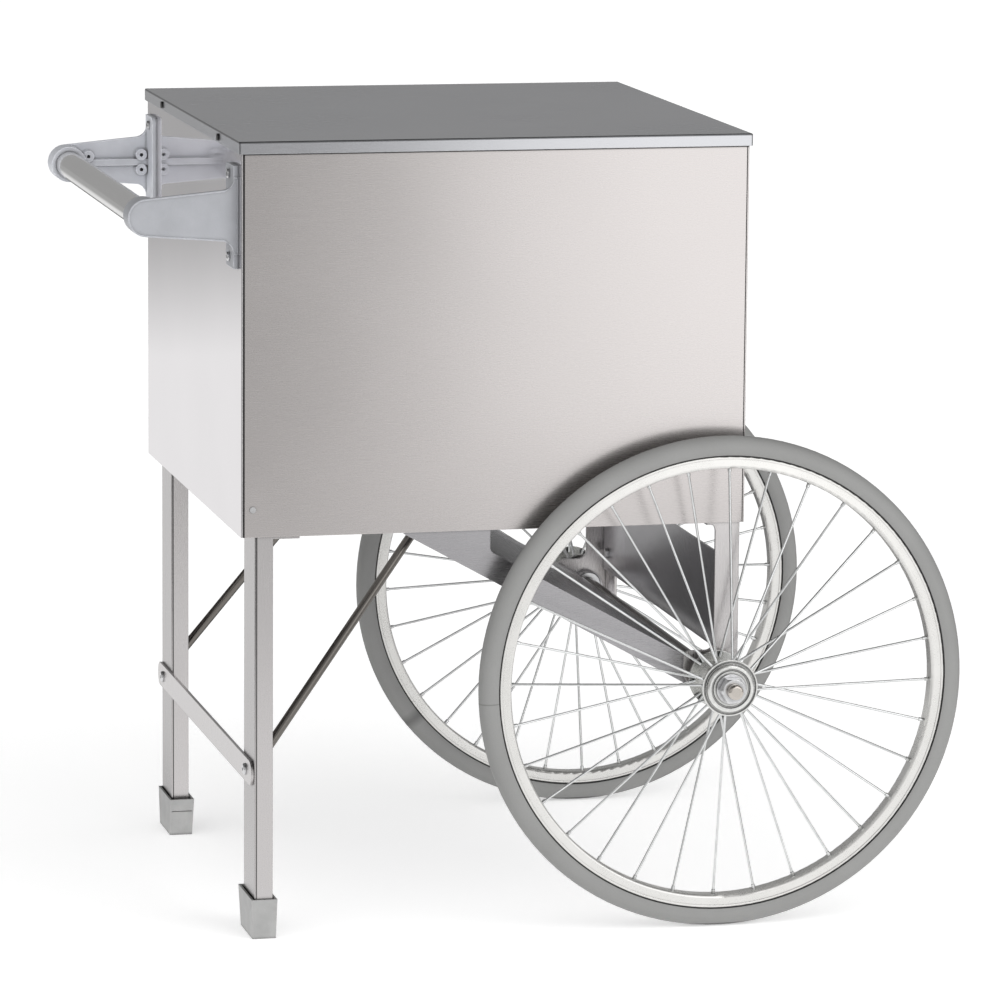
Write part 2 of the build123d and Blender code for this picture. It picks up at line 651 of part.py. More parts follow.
def rear_post():
    """Right post: angle section, widened at the axle and bent over under the floor."""
    corner = 9.0
    foot_left = 461.0
    foot_top = 281.0
    web_face = make_face(
        [
            Line((POST_RIGHT, CABINET_BOTTOM), (POST_LEFT - corner, CABINET_BOTTOM)),
            RadiusArc((POST_LEFT - corner, CABINET_BOTTOM), (POST_LEFT, CABINET_BOTTOM - corner), corner),
            Line((POST_LEFT, CABINET_BOTTOM - corner), (POST_LEFT, foot_top + corner)),
            RadiusArc((POST_LEFT, foot_top + corner), (POST_LEFT - corner, foot_top), corner),
            Line((POST_LEFT - corner, foot_top), (foot_left + 6, foot_top)),
            RadiusArc((foot_left + 6, foot_top), (foot_left, foot_top - 6), -6),
            Line((foot_left, foot_top - 6), (foot_left, 256)),
            ThreePointArc((foot_left, 256), (480, 234), (POST_RIGHT, 233)),
            Line((POST_RIGHT, 233), (POST_RIGHT, CABINET_BOTTOM)),
        ]
    )
    web = side_plate(web_face, POST_OUTSIDE - POST_WEB, POST_WEB)
    flange_inside = -POST_OUTSIDE + POST_FLANGE
    widths = (-POST_OUTSIDE, flange_inside)
    web += block((POST_RIGHT - POST_WEB, POST_RIGHT), widths, (240, CABINET_BOTTOM))
    web += block((POST_LEFT - corner, POST_RIGHT), widths, (FLANGE_UNDERSIDE, CABINET_BOTTOM))
    web -= rod_along("y", AXLE_RADIUS + 0.02, -300, -200, x=AXLE_X, z=WHEEL_RADIUS)
    for z in CROSS_PLATE_BOLT_Z:
        web -= rod_along("x", BOLT_HOLE, POST_RIGHT - 5, POST_RIGHT + 1, y=-CROSS_PLATE_BOLT_Y, z=z)
    return web - floor_holes(POST_BOLTS)


def cross_plate():
    """Upright plate that ties the two posts together."""
    back = POST_RIGHT - POST_WEB
    half = POST_OUTSIDE - POST_WEB - 0.3
    plate = block((back - STEEL, back), (-half, half), (CROSS_PLATE_BOTTOM, CROSS_PLATE_TOP))
    for y in (-CROSS_PLATE_BOLT_Y, CROSS_PLATE_BOLT_Y):
        for z in CROSS_PLATE_BOLT_Z:
            plate -= rod_along("x", BOLT_HOLE, back - 9, back + 1, y=y, z=z)
    return plate


def cross_plate_bolts():
    """Four bolts through the cross plate and the post flanges."""
    bolts = []
    face = POST_RIGHT - POST_WEB - STEEL
    for y in (-CROSS_PLATE_BOLT_Y, CROSS_PLATE_BOLT_Y):
        for z in CROSS_PLATE_BOLT_Z:
            head = hexagon("x", BOLT_ACROSS_FLATS, face - BOLT_HEAD_HEIGHT, BOLT_HEAD_HEIGHT, y=y, z=z)
            bolts.append(head + rod_along("x", BOLT_RADIUS, face, POST_RIGHT + NUT_HEIGHT + 1.5, y=y, z=z))
    return Compound(bolts)


def cross_plate_nuts():
    """Nuts on the outside of the post flanges."""
    nuts = []
    for y in (-CROSS_PLATE_BOLT_Y, CROSS_PLATE_BOLT_Y):
        for z in CROSS_PLATE_BOLT_Z:
            nut = hexagon("x", BOLT_ACROSS_FLATS, POST_RIGHT, NUT_HEIGHT, y=y, z=z)
            nuts.append(nut - rod_along("x", BOLT_HOLE, POST_RIGHT - 1, POST_RIGHT + 9, y=y, z=z))
    return Compound(nuts)


def axle():
    """Fixed axle through both posts."""
    rod = rod_along("y", AXLE_RADIUS, -AXLE_HALF_LENGTH, AXLE_HALF_LENGTH, x=AXLE_X, z=WHEEL_RADIUS)
    ends = rod.edges().filter_by(GeomType.CIRCLE)
    return fillet(ends, 3.0)


def ring(inner, outer, start, end):
    """A ring around the axle, given by its distances out from the middle of the cart."""
    shape = rod_along("y", outer, -end, -start, x=AXLE_X, z=WHEEL_RADIUS)
    return shape - rod_along("y", inner, -end - 1, -start + 1, x=AXLE_X, z=WHEEL_RADIUS)


def axle_collars():
    """Shaft collars inside the two cheeks, which stop the axle from sliding."""
    cheek_inside = POST_OUTSIDE - POST_WEB - STEEL
    collar = ring(AXLE_RADIUS + 0.02, 14.0, cheek_inside - 11, cheek_inside)
    inside_face = collar.edges().filter_by(GeomType.CIRCLE).group_by(Axis.Y)[-1]
    collar = chamfer(inside_face.sort_by(SortBy.RADIUS)[-1], 1.0)
    return Compound([collar, other_side(collar)])


def wheel_spacers():
    """Spacers between the posts and the hubs."""
    spacer = ring(AXLE_RADIUS + 0.02, 12.0, POST_OUTSIDE, WHEEL_PLANE + HUB_INNER_END - 0.3)
    return Compound([spacer, other_side(spacer)])


def wheel_washers():
    """Washers between the hubs and the axle nuts."""
    washer = ring(AXLE_RADIUS + 0.02, 15.4, WASHER_START, WASHER_START + WASHER)
    return Compound([washer, other_side(washer)])


def axle_nuts():
    """Hexagon nuts on the ends of the axle."""
    start = WASHER_START + WASHER
    height = 11.5
    nut = hexagon("y", AXLE_NUT_ACROSS_FLATS, -start - height, height, x=AXLE_X, z=WHEEL_RADIUS)
    cone = Plane(origin=(AXLE_X, -start - height, WHEEL_RADIUS), z_dir=(0, 1, 0)) * Cone(
        AXLE_NUT_ACROSS_FLATS / 2 - 0.3, AXLE_NUT_ACROSS_FLATS / 2 + 19.7, 12, align=UP
    )
    nut = nut & cone
    nut -= rod_along("y", AXLE_RADIUS + 0.02, -start - 20, -start + 1, x=AXLE_X, z=WHEEL_RADIUS)
    return Compound([nut, other_side(nut)])


# ---- wheels: drawn around the Y axis at the origin, with -Y pointing outwards ----

def turned(points):
    """A turned shape from (radius, outward distance) points."""
    profile = make_face(Polyline([(radius, -out) for radius, out in points + points[:1]]))
    return revolve(profile, Axis.Y)


def tyre():
    """Solid rubber tyre: round tread with a neck that fills the rim."""
    centre = WHEEL_RADIUS - TYRE_SECTION_RADIUS
    half_neck = RIM_WIDTH / 2 - RIM_WALL - 0.2
    bed = RIM_INNER + 2.75
    round_part = Pos(centre, 0) * Circle(TYRE_SECTION_RADIUS)
    round_part -= Pos(RIM_OUTER - 10 + TYRE_GROOVE, 0) * Rectangle(20, 40)
    neck = make_face(
        Polyline(
            (bed, half_neck - 2.2), (bed + 2.2, half_neck), (RIM_OUTER + 2, half_neck),
            (RIM_OUTER + 2, -half_neck), (bed + 2.2, -half_neck), (bed, -half_neck + 2.2),
            (bed, half_neck - 2.2),
        )
    )
    return revolve(round_part + neck, Axis.Y)


def rim():
    """Open channel rim that holds the tyre, with a rounded lip along each edge."""
    middle = (RIM_INNER + RIM_OUTER) / 2
    outer = Pos(middle, 0) * Rectangle(RIM_OUTER - RIM_INNER, RIM_WIDTH - 2 * RIM_FACE_SET_BACK)
    outer = fillet(outer.vertices().group_by(Axis.X)[0], 3.0)
    lips = Pos(RIM_OUTER - RIM_LIP / 2, 0) * Rectangle(RIM_LIP, RIM_WIDTH)
    outer += fillet(lips.vertices(), RIM_FACE_SET_BACK)
    bed = RIM_INNER + 2.5
    channel = Pos((bed + RIM_OUTER + 1) / 2, 0) * Rectangle(RIM_OUTER + 1 - bed, RIM_WIDTH - 2 * RIM_WALL)
    channel = fillet(channel.vertices().group_by(Axis.X)[0], 1.0)
    ring_shape = revolve(outer - channel, Axis.Y)
    for flange in (INNER_FLANGE, OUTER_FLANGE):
        for middle_angle in pair_angles(flange):
            for side in (-1, 1):
                ring_shape -= nipple_shape(flange, middle_angle, side, 0.06)
    return ring_shape


def hub():
    """Turned hub with two spoke flanges and a pocket for a bearing at each end."""
    end = OUTER_FLANGE + FLANGE
    groove = end - FLANGE_GROOVE_DEPTH
    pocket = BEARING_RADIUS + 0.02
    shape = turned(
        [
            (10.0, HUB_INNER_END + BEARING_WIDTH), (pocket, HUB_INNER_END + BEARING_WIDTH),
            (pocket, HUB_INNER_END), (HUB_RADIUS, HUB_INNER_END), (HUB_RADIUS, INNER_FLANGE),
            (FLANGE_RADIUS, INNER_FLANGE), (FLANGE_RADIUS, INNER_FLANGE + FLANGE),
            (HUB_RADIUS + 2, INNER_FLANGE + FLANGE), (HUB_RADIUS - 2, INNER_FLANGE + 8),
            (HUB_RADIUS - 2, OUTER_FLANGE - 6), (HUB_RADIUS + 2, OUTER_FLANGE),
            (FLANGE_RADIUS, OUTER_FLANGE), (FLANGE_RADIUS, end), (FLANGE_GROOVE[1], end),
            (FLANGE_GROOVE[1], groove), (FLANGE_GROOVE[0], groove), (FLANGE_GROOVE[0], end), (pocket, end),
            (pocket, end - BEARING_WIDTH), (10.0, end - BEARING_WIDTH),
        ]
    )
    holes = []
    for start in (INNER_FLANGE, OUTER_FLANGE):
        for angle in hub_angles(start):
            x = SPOKE_HOLE_CIRCLE * cos(radians(angle))
            z = SPOKE_HOLE_CIRCLE * sin(radians(angle))
            holes.append(rod_along("y", SPOKE_RADIUS + 0.05, -start - FLANGE - 1, -start + 1, x=x, z=z))
    return shape - holes


def pair_angles(flange):
    """Middle angle of each pair of spokes on a flange."""
    offset = SPOKE_PHASE if flange == OUTER_FLANGE else SPOKE_PHASE + SPOKE_RIM_SPREAD
    return [offset + index * 360 / SPOKE_PAIRS for index in range(SPOKE_PAIRS)]


def hub_angles(flange):
    """Angles of the spoke holes in a flange."""
    return [middle + side * SPOKE_HOLE_SPREAD for middle in pair_angles(flange) for side in (-1, 1)]


def spoke_ends(flange, middle, side):
    """Elbow of a spoke beside its flange, and the point that it aims at in the rim."""
    hub_angle = radians(middle + side * SPOKE_HOLE_SPREAD)
    rim_angle = radians(middle + side * SPOKE_RIM_SPREAD)
    inner_face = INNER_FLANGE + FLANGE if flange == INNER_FLANGE else OUTER_FLANGE
    step = SPOKE_RADIUS + 0.4 if flange == INNER_FLANGE else -SPOKE_RADIUS - 0.4
    elbow = Vector(
        SPOKE_HOLE_CIRCLE * cos(hub_angle), -inner_face - step, SPOKE_HOLE_CIRCLE * sin(hub_angle)
    )
    target = Vector(RIM_INNER * cos(rim_angle), 0, RIM_INNER * sin(rim_angle))
    return elbow, target


def spoke(flange, middle, side):
    """A wire spoke hooked through its flange."""
    elbow, target = spoke_ends(flange, middle, side)
    line = target - elbow
    length = line.length - NIPPLE_LENGTH
    wire = Plane(origin=elbow, z_dir=line) * Cylinder(SPOKE_RADIUS, length, align=UP)
    wire += Pos(elbow.X, elbow.Y, elbow.Z) * Sphere(SPOKE_RADIUS)
    if flange == INNER_FLANGE:
        wire += rod_along("y", SPOKE_RADIUS, elbow.Y, -INNER_FLANGE + 0.2, x=elbow.X, z=elbow.Z)
        wire += rod_along("y", SPOKE_RADIUS + 0.9, -INNER_FLANGE, -INNER_FLANGE + 1.2, x=elbow.X, z=elbow.Z)
        return wire
    return wire + rod_along("y", SPOKE_RADIUS, -OUTER_FLANGE - FLANGE, elbow.Y, x=elbow.X, z=elbow.Z)


def nipple_shape(flange, middle, side, clearance=0.0):
    """Outside of a nipple, or with a clearance the stepped hole in the rim that seats its head."""
    elbow, target = spoke_ends(flange, middle, side)
    line = target - elbow
    start = elbow + line * ((line.length - NIPPLE_LENGTH) / line.length)
    face = Plane(origin=start, z_dir=line)
    body = face * Cylinder(NIPPLE_RADIUS + clearance, NIPPLE_LENGTH + NIPPLE_HEAD_START, align=UP)
    seat = face.offset(NIPPLE_LENGTH + NIPPLE_HEAD_START - clearance)
    depth = 5.0 if clearance else NIPPLE_HEAD
    return body + seat * Cylinder(NIPPLE_RADIUS + NIPPLE_HEAD + clearance, depth, align=UP)


def nipple(flange, middle, side):
    """The nut that holds a spoke in the rim."""
    return nipple_shape(flange, middle, side)


def all_spokes(make):
    """Every spoke, or every nipple, of one wheel."""
    pieces = []
    for flange in (INNER_FLANGE, OUTER_FLANGE):
        for middle in pair_angles(flange):
            for side in (-1, 1):
                pieces.append(make(flange, middle, side))
    return Compound(pieces)


def bearings():
    """The two bearings of one hub."""
    rings = []
    for start in (HUB_INNER_END + 0.1, OUTER_FLANGE + FLANGE - BEARING_WIDTH):
        end = start + BEARING_WIDTH - 0.1
        inner = AXLE_RADIUS + RUNNING_CLEARANCE
        rings.append(turned([(inner, start), (BEARING_RADIUS, start), (BEARING_RADIUS, end), (inner, end)]))
    return Compound(rings)


def dust_cap():
    """Pressed cap over the outer flange."""
    base = OUTER_FLANGE + FLANGE
    return turned(
        [
            (9.0, base), (DUST_CAP_RADIUS, base), (DUST_CAP_RADIUS, base + 2.4),
            (DUST_CAP_RADIUS - 0.7, base + 3.6), (DUST_CAP_RADIUS - 2.0, base + 4.2),
            (DUST_CAP_RADIUS - 4.0, base + 4.2), (DUST_CAP_RADIUS - 4.7, base + 2.0),
            (DUST_CAP_RADIUS - 5.9, base + 2.0), (DUST_CAP_RADIUS - 6.5, CAP_FACE), (9.0, CAP_FACE),
        ]
    )


def on_axle(shape):
    """Moves a wheel piece from the origin to the right end of the axle."""
    return Pos(AXLE_X, -WHEEL_PLANE, WHEEL_RADIUS) * shape


# ---- write every piece ----

def save(name, shape):
    """Writes one piece, with the whole cart centred on the origin."""
    export_step(Pos(CENTRE_SHIFT, 0, 0) * shape, f"parts/{name}.step")


def save_pair(name, shape):
    """Writes a right-hand piece and its mirrored left-hand twin."""
    save(f"right_{name}", shape)
    save(f"left_{name}", other_side(shape))


def save_wheel_piece(name, shape):
    """Writes a piece of the right wheel and its twin in the left wheel, which stands at another angle."""
    save(f"right_{name}", on_axle(shape))
    save(f"left_{name}", other_side(on_axle(Rot(0, LEFT_WHEEL_TURN, 0) * shape)))


os.makedirs("parts", exist_ok=True)

save("top_deck", top_deck())
save("deck_screws", deck_screws())
save("deck_stiffeners", deck_stiffeners())
save("handle_end_panel", handle_end_panel())
save("door_frame_panel", door_frame_panel())
save_pair("side_panel", side_panel())
save("side_rivets", side_rivets())
save("cabinet_floor", cabinet_floor())
save("floor_bolts", floor_bolts())
save("floor_nuts", floor_nuts())

save("door_skin", door_skin())
save("door_liner", door_liner())
save("door_knob", door_knob())
save("door_catch", door_catch())
save("door_strike", door_strike())
save("hinge_frame_leaf", hinge_leaf(1, 0))
save("hinge_door_leaf", hinge_leaf(-1, 1))
save("hinge_pin", hinge_pin())

save_pair("handle_bracket", handle_bracket())
save("handle_bar", handle_bar())
save("bracket_screws", bracket_screws())
save("bracket_nuts", bracket_nuts())

save("right_leg", leg())
save("left_leg", left_leg())
save_pair("foot", foot())
save("leg_strap", leg_strap())
save("strap_bolts", strap_bolts())
save("strap_nuts", strap_nuts())
save_pair("leg_brace", leg_brace())

save("axle_brace", axle_brace())
save_pair("rear_post", rear_post())
save("cross_plate", cross_plate())
save("cross_plate_bolts", cross_plate_bolts())
save("cross_plate_nuts", cross_plate_nuts())
save("axle", axle())
save("axle_collars", axle_collars())
save("wheel_spacers", wheel_spacers())
save("wheel_washers", wheel_washers())
save("axle_nuts", axle_nuts())

save_wheel_piece("tyre", tyre())
save_wheel_piece("rim", rim())
save_wheel_piece("hub", hub())
save_wheel_piece("spokes", all_spokes(spoke))
save_wheel_piece("nipples", all_spokes(nipple))
save_wheel_piece("bearings", bearings())
save_wheel_piece("dust_cap", dust_cap())
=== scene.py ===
"""Looks for the popcorn cart: materials, floor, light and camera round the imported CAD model.

Lengths are in metres and angles in degrees. X runs towards the wheels, Y to the left and Z up.
"""

import json
from math import cos, radians, sin

import bpy
from mathutils import Matrix, Vector

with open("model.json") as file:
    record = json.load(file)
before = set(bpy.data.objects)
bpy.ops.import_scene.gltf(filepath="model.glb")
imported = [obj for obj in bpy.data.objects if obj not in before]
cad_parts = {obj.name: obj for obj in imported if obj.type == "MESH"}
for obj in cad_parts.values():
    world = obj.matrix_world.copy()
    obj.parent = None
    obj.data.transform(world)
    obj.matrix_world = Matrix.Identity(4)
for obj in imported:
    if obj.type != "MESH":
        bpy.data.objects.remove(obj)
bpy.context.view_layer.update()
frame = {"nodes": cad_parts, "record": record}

# Camera
CAMERA_PLACE = (-1.3794, -5.8804, 1.4230)
CAMERA_AZIMUTH = -13.32
CAMERA_ELEVATION = 9.64
CAMERA_ROLL = 0.48
CAMERA_LENS = 208.24
CAMERA_SENSOR = 36
CAMERA_REACH = 200

# Cabinet and legs
SIDE_SHEET_START_X = -0.3152
SKIRT_BOTTOM = 0.7995
DECK_TOP = 0.812
DECK_BEND = 0.0015
LEG_WEB_X = -0.3030
LEG_FOLD_X = LEG_WEB_X + 0.0018

# Wheels and axle
AXLE_X = 0.175
AXLE_Z = 0.254
AXLE_TURNED_FROM = 0.300
RIGHT = -1
LEFT = 1
RIGHT_TYRE_JOINT = 183.0
LEFT_TYRE_JOINT = 218.7

# Brushing and speckle, as noise scales along X, Y and Z per metre
ALONG_X = (45, 2600, 2600)
ALONG_Y = (2600, 45, 2600)
ALONG_Z = (2600, 2600, 45)
SPECKLE = (900, 900, 900)

# Grain height, and reach of the painted shade in crevices
GRAIN_HEIGHT = 0.0003
CREVICE_SHADE_REACH = 0.004

# Floor and light
FLOOR_SIZE = 80
FLOOR_WHITE = 0.90
FLOOR_LIFT = 0.42
DARK_FLOOR = 0.14
DIM_FLOOR = 0.40
DARK_CEILING_BEHIND = 0.08
DARK_CEILING_BEFORE = 0.10


# ---- node helpers ----

def add(tree, kind, links=None, **settings):
    """A shader node with its settings; each value in `links` is a socket to join or a plain value."""
    made = tree.nodes.new(kind)
    for name, value in settings.items():
        setattr(made, name, value)
    for name, value in (links or {}).items():
        if isinstance(value, bpy.types.NodeSocket):
            tree.links.new(value, made.inputs[name])
        else:
            made.inputs[name].default_value = value
    return made


def maths(tree, operation, first, second=0.0):
    """The result of one Math node."""
    return add(tree, "ShaderNodeMath", {0: first, 1: second}, operation=operation).outputs[0]


def product(tree, first, *others):
    """All the values multiplied together."""
    for other in others:
        first = maths(tree, "MULTIPLY", first, other)
    return first


def distance(tree, value, target):
    """How far a value is from its target, either way."""
    return maths(tree, "ABSOLUTE", maths(tree, "SUBTRACT", value, target))


def remap(tree, value, start, end, low, high, smooth=False):
    """Maps start..end onto low..high, held at both ends."""
    kind = "SMOOTHSTEP" if smooth else "LINEAR"
    links = {"Value": value, "From Min": start, "From Max": end, "To Min": low, "To Max": high}
    return add(tree, "ShaderNodeMapRange", links, interpolation_type=kind).outputs[0]


def coordinate(tree, axis):
    """X, Y or Z of the surface point in the object's own frame."""
    place = add(tree, "ShaderNodeTexCoord").outputs["Object"]
    return add(tree, "ShaderNodeSeparateXYZ", {0: place}).outputs[axis]


def noise(tree, scale, detail=3.0):
    """Noise from 0 to 1 in object space, with its own scale along each axis, per metre."""
    place = add(tree, "ShaderNodeTexCoord").outputs["Object"]
    mapped = add(tree, "ShaderNodeMapping", {"Vector": place, "Scale": scale}).outputs[0]
    links = {"Vector": mapped, "Scale": 1.0, "Detail": detail, "Roughness": 0.55}
    return add(tree, "ShaderNodeTexNoise", links).outputs["Fac"]


def spread(tree, value, low, high):
    """Maps the middle of a noise onto the range from low to high."""
    return remap(tree, value, 0.3, 0.7, low, high)


def edge_mask(tree, radius):
    """1 on sharp edges and 0 on flat faces, with the rounded normal that it comes from."""
    rounded = add(tree, "ShaderNodeBevel", {"Radius": radius}, samples=4).outputs[0]
    plain = add(tree, "ShaderNodeNewGeometry").outputs["Normal"]
    agreement = add(tree, "ShaderNodeVectorMath", {0: rounded, 1: plain}, operation="DOT_PRODUCT")
    return remap(tree, agreement.outputs["Value"], 0.995, 0.85, 0.0, 1.0), rounded


def painted_crevice_shade(tree, depth):
    """Painted shade: 1 in the open, falling by `depth` where surfaces crowd together."""
    open_sky = add(tree, "ShaderNodeAmbientOcclusion", {"Distance": CREVICE_SHADE_REACH}, samples=8).outputs["AO"]
    return remap(tree, open_sky, 0.40, 0.92, 1.0 - depth, 1.0)


def start(name, metallic):
    """A new material and its shader."""
    made = bpy.data.materials.new(name)
    made.use_nodes = True
    shader = made.node_tree.nodes["Principled BSDF"]
    shader.inputs["Metallic"].default_value = metallic
    return made, made.node_tree, shader


def paint(name, tint, metallic, roughness, grain, blotch=(4, 4, 4), grain_depth=0.03, blotch_depth=0.03,
          bump=0.05, edge=0.0008, edge_gain=0.2, rough_spread=0.03, crevice_shade_depth=0.45, shade=None):
    """A finished surface: tint varied by fine grain and broad blotches, painted shade in crevices, and
    grain in the gloss.

    Edges get a painted highlight, as on rubbed bright metal; where edge_gain is below zero they get painted
    shade instead. With edge=0 they stay plain.
    """
    made, tree, shader = start(name, metallic)
    fine = noise(tree, grain)
    broad = noise(tree, blotch, detail=2.0)
    # The crevice term darkens the tint with painted shade where surfaces crowd together.
    level = product(tree, spread(tree, fine, 1 - grain_depth, 1 + grain_depth),
                    spread(tree, broad, 1 - blotch_depth, 1 + blotch_depth), painted_crevice_shade(tree, crevice_shade_depth))
    relief = {"Strength": bump, "Distance": GRAIN_HEIGHT, "Height": fine}
    if edge > 0:
        # Painted highlight on sharp edges, as on rubbed metal, turned to painted shade when edge_gain is
        # below zero.
        edge_wear_and_highlight, relief["Normal"] = edge_mask(tree, edge)
        level = product(tree, level, remap(tree, edge_wear_and_highlight, 0.0, 1.0, 1.0, 1.0 + edge_gain))
    # Lines, marks and painted light and shade from the shade function multiply the tint.
    if shade is not None:
        level = product(tree, level, shade(tree))
    colour = add(tree, "ShaderNodeVectorMath", {0: tint, "Scale": level}, operation="SCALE")
    tree.links.new(colour.outputs[0], shader.inputs["Base Color"])
    gloss = maths(tree, "ADD", spread(tree, fine, -rough_spread, rough_spread), roughness)
    gloss = maths(tree, "ADD", gloss, spread(tree, broad, -rough_spread / 2, rough_spread / 2))
    tree.links.new(gloss, shader.inputs["Roughness"])
    tree.links.new(add(tree, "ShaderNodeBump", relief).outputs[0], shader.inputs["Normal"])
    return made


# ---- lines, marks and painted light and shade, as shades that multiply a tint ----

def slope(axis, start_at, end_at, low, high):
    """Painted light and shade that runs smoothly from low to high along one axis of the object."""
    def build(tree):
        return remap(tree, coordinate(tree, axis), start_at, end_at, low, high, smooth=True)
    return build


def deck_fold(tree):
    """A painted dark reflection along the bend between the deck's top and its skirt, where the bend mirrors
    the dark ceiling.
    """
    height = coordinate(tree, 2)
    below = remap(tree, height, DECK_TOP - DECK_BEND - 0.0008, DECK_TOP - DECK_BEND, 1.0, 0.30)
    above = remap(tree, height, DECK_TOP - 0.0003, DECK_TOP - 0.0001, 0.30, 1.0)
    return maths(tree, "MAXIMUM", below, above)


def panel_seams_and_skirt_shadow(tree):
    """A painted shadow line with dirt on the walls under the deck's skirt, and dark seam lines on the side
    sheets beside the handle end wall.
    """
    height = coordinate(tree, 2)
    from_wall = maths(tree, "SUBTRACT", coordinate(tree, 0), SIDE_SHEET_START_X)
    # Painted shadow with dirt just under the skirt's overhang.
    under_skirt = remap(tree, height, SKIRT_BOTTOM - 0.0018, SKIRT_BOTTOM - 0.0010, 1.0, 0.12)
    beside_wall = remap(tree, from_wall, 0.0010, 0.0016, 0.12, 1.0)
    return product(tree, under_skirt, beside_wall)


def leg_folds(tree):
    """A painted dark line of shade along the fold at the handle side of each leg, and a duller web beside
    it.
    """
    across = coordinate(tree, 0)
    # Painted shade along the fold just past the bend.
    fold = remap(tree, distance(tree, across, LEG_FOLD_X), 0.0004, 0.0009, 0.22, 1.0)
    web = remap(tree, distance(tree, across, LEG_WEB_X), 0.0002, 0.0004, 0.74, 1.0)
    return product(tree, fold, web)


def turned_ends(tree):
    """Bright freshly turned metal at both ends of the axle."""
    out = maths(tree, "ABSOLUTE", coordinate(tree, 1))
    return remap(tree, out, AXLE_TURNED_FROM, AXLE_TURNED_FROM + 0.010, 1.0, 3.4)


def ray_mark(tree, side, angle, half_width, softness):
    """1 near the line that runs out from a wheel's axle at an angle, on one side of the cart, else 0."""
    turned = radians(angle)
    across = maths(tree, "SUBTRACT", coordinate(tree, 0), AXLE_X)
    up = maths(tree, "SUBTRACT", coordinate(tree, 2), AXLE_Z)
    out = maths(tree, "ADD", product(tree, across, cos(turned)), product(tree, up, sin(turned)))
    off = distance(tree, product(tree, across, sin(turned)), product(tree, up, cos(turned)))
    near = remap(tree, off, half_width, half_width + softness, 1.0, 0.0)
    this_way = maths(tree, "GREATER_THAN", out, 0.0)
    this_side = maths(tree, "GREATER_THAN", product(tree, coordinate(tree, 1), side), 0.0)
    return product(tree, near, this_way, this_side)


def tyre_joints(tree):
    """Where each tyre's ends meet: a fine line on the right tyre and a darker band on the left one."""
    line = ray_mark(tree, RIGHT, RIGHT_TYRE_JOINT, 0.0004, 0.0005)
    left_dark_band = ray_mark(tree, LEFT, LEFT_TYRE_JOINT, 0.001, 0.009)
    shade = maths(tree, "SUBTRACT", 1.0, product(tree, line, 0.30))
    return maths(tree, "SUBTRACT", shade, product(tree, left_dark_band, 0.42))


# ---- materials, one for each slot of the record ----

# In each material, the crevice shade depth sets painted shade where surfaces crowd together, and edge_gain
# sets a painted highlight on sharp edges, turned to painted shade below zero.
def deck_steel():
    """Brushed sheet of the deck."""
    return paint("deck_steel", (0.64, 0.645, 0.67), 1.0, 0.24, ALONG_X, bump=0.02, grain_depth=0.015,
                 shade=deck_fold)


def panel_steel():
    """Brushed sheet of the cabinet's sides and wheel end."""
    return paint("panel_steel", (0.685, 0.65, 0.64), 1.0, 0.27, ALONG_X, bump=0.008, grain_depth=0.014,
                 rough_spread=0.014, edge_gain=0.35, crevice_shade_depth=0.7, shade=panel_seams_and_skirt_shadow)


def polished_steel():
    """Nearly mirror bright sheet of the handle end."""
    return paint("polished_steel", (0.88, 0.85, 0.865), 1.0, 0.07, ALONG_Z, grain_depth=0.015,
                 bump=0.01, rough_spread=0.02)


def inner_steel():
    """Dull sheet of the cabinet's floor, the deck's stiffeners and the door's liner."""
    return paint("inner_steel", (0.60, 0.60, 0.60), 1.0, 0.40, ALONG_X, blotch_depth=0.08)


def leg_steel():
    """Brushed steel of the legs, their strap and the rear posts."""
    return paint("leg_steel", (0.71, 0.685, 0.683), 1.0, 0.26, ALONG_Z, bump=0.02, edge=0.0012,
                 edge_gain=-0.3, shade=leg_folds)


def frame_steel():
    """Greyer sheet of the undercarriage, with painted light on its left side."""
    return paint("frame_steel", (0.50, 0.49, 0.505), 1.0, 0.27, ALONG_X, bump=0.02, blotch_depth=0.05,
                 edge_gain=0.4, shade=slope(1, 0.15, 0.22, 1.0, 1.6))


def axle_steel():
    """Dark steel of the axle, the leg braces and the bearings."""
    return paint("axle_steel", (0.21, 0.195, 0.18), 1.0, 0.17, ALONG_Z, bump=0.02, shade=turned_ends)


def foot_steel():
    """Dull pressed steel of the feet."""
    return paint("foot_steel", (0.48, 0.48, 0.475), 0.7, 0.42, SPECKLE, blotch=(60, 60, 60),
                 blotch_depth=0.08, bump=0.10, edge_gain=0.4)


def handle_steel():
    """Bright tube of the handle."""
    return paint("handle_steel", (0.84, 0.83, 0.82), 1.0, 0.12, ALONG_Y, bump=0.03)


def cast_aluminium():
    """Grainy casting of the handle brackets, with painted shade on the right bracket, painted light on the
    left one, and painted highlights on their edges.
    """
    return paint("cast_aluminium", (0.47, 0.48, 0.51), 0.30, 0.42, SPECKLE, blotch=(40, 40, 40),
                 blotch_depth=0.06, bump=0.14, edge=0.0012, edge_gain=1.0, crevice_shade_depth=0.6,
                 shade=slope(1, -0.25, 0.25, 0.88, 1.50))


def hinge_steel():
    """Brushed leaves and pin of the long hinge."""
    return paint("hinge_steel", (0.62, 0.62, 0.61), 1.0, 0.28, ALONG_Z)


def fastener_zinc():
    """Bright plating of bolts, nuts, rivets and other small steel pieces."""
    return paint("fastener_zinc", (0.80, 0.80, 0.81), 1.0, 0.22, SPECKLE, blotch=(200, 200, 200),
                 blotch_depth=0.10, edge=0.0005)


def dark_screw():
    """Near-black screws of the deck's skirt, with a painted highlight on their edges."""
    return paint("dark_screw", (0.10, 0.10, 0.10), 1.0, 0.35, SPECKLE, blotch=(200, 200, 200),
                 blotch_depth=0.10, edge=0.0005, edge_gain=1.5)


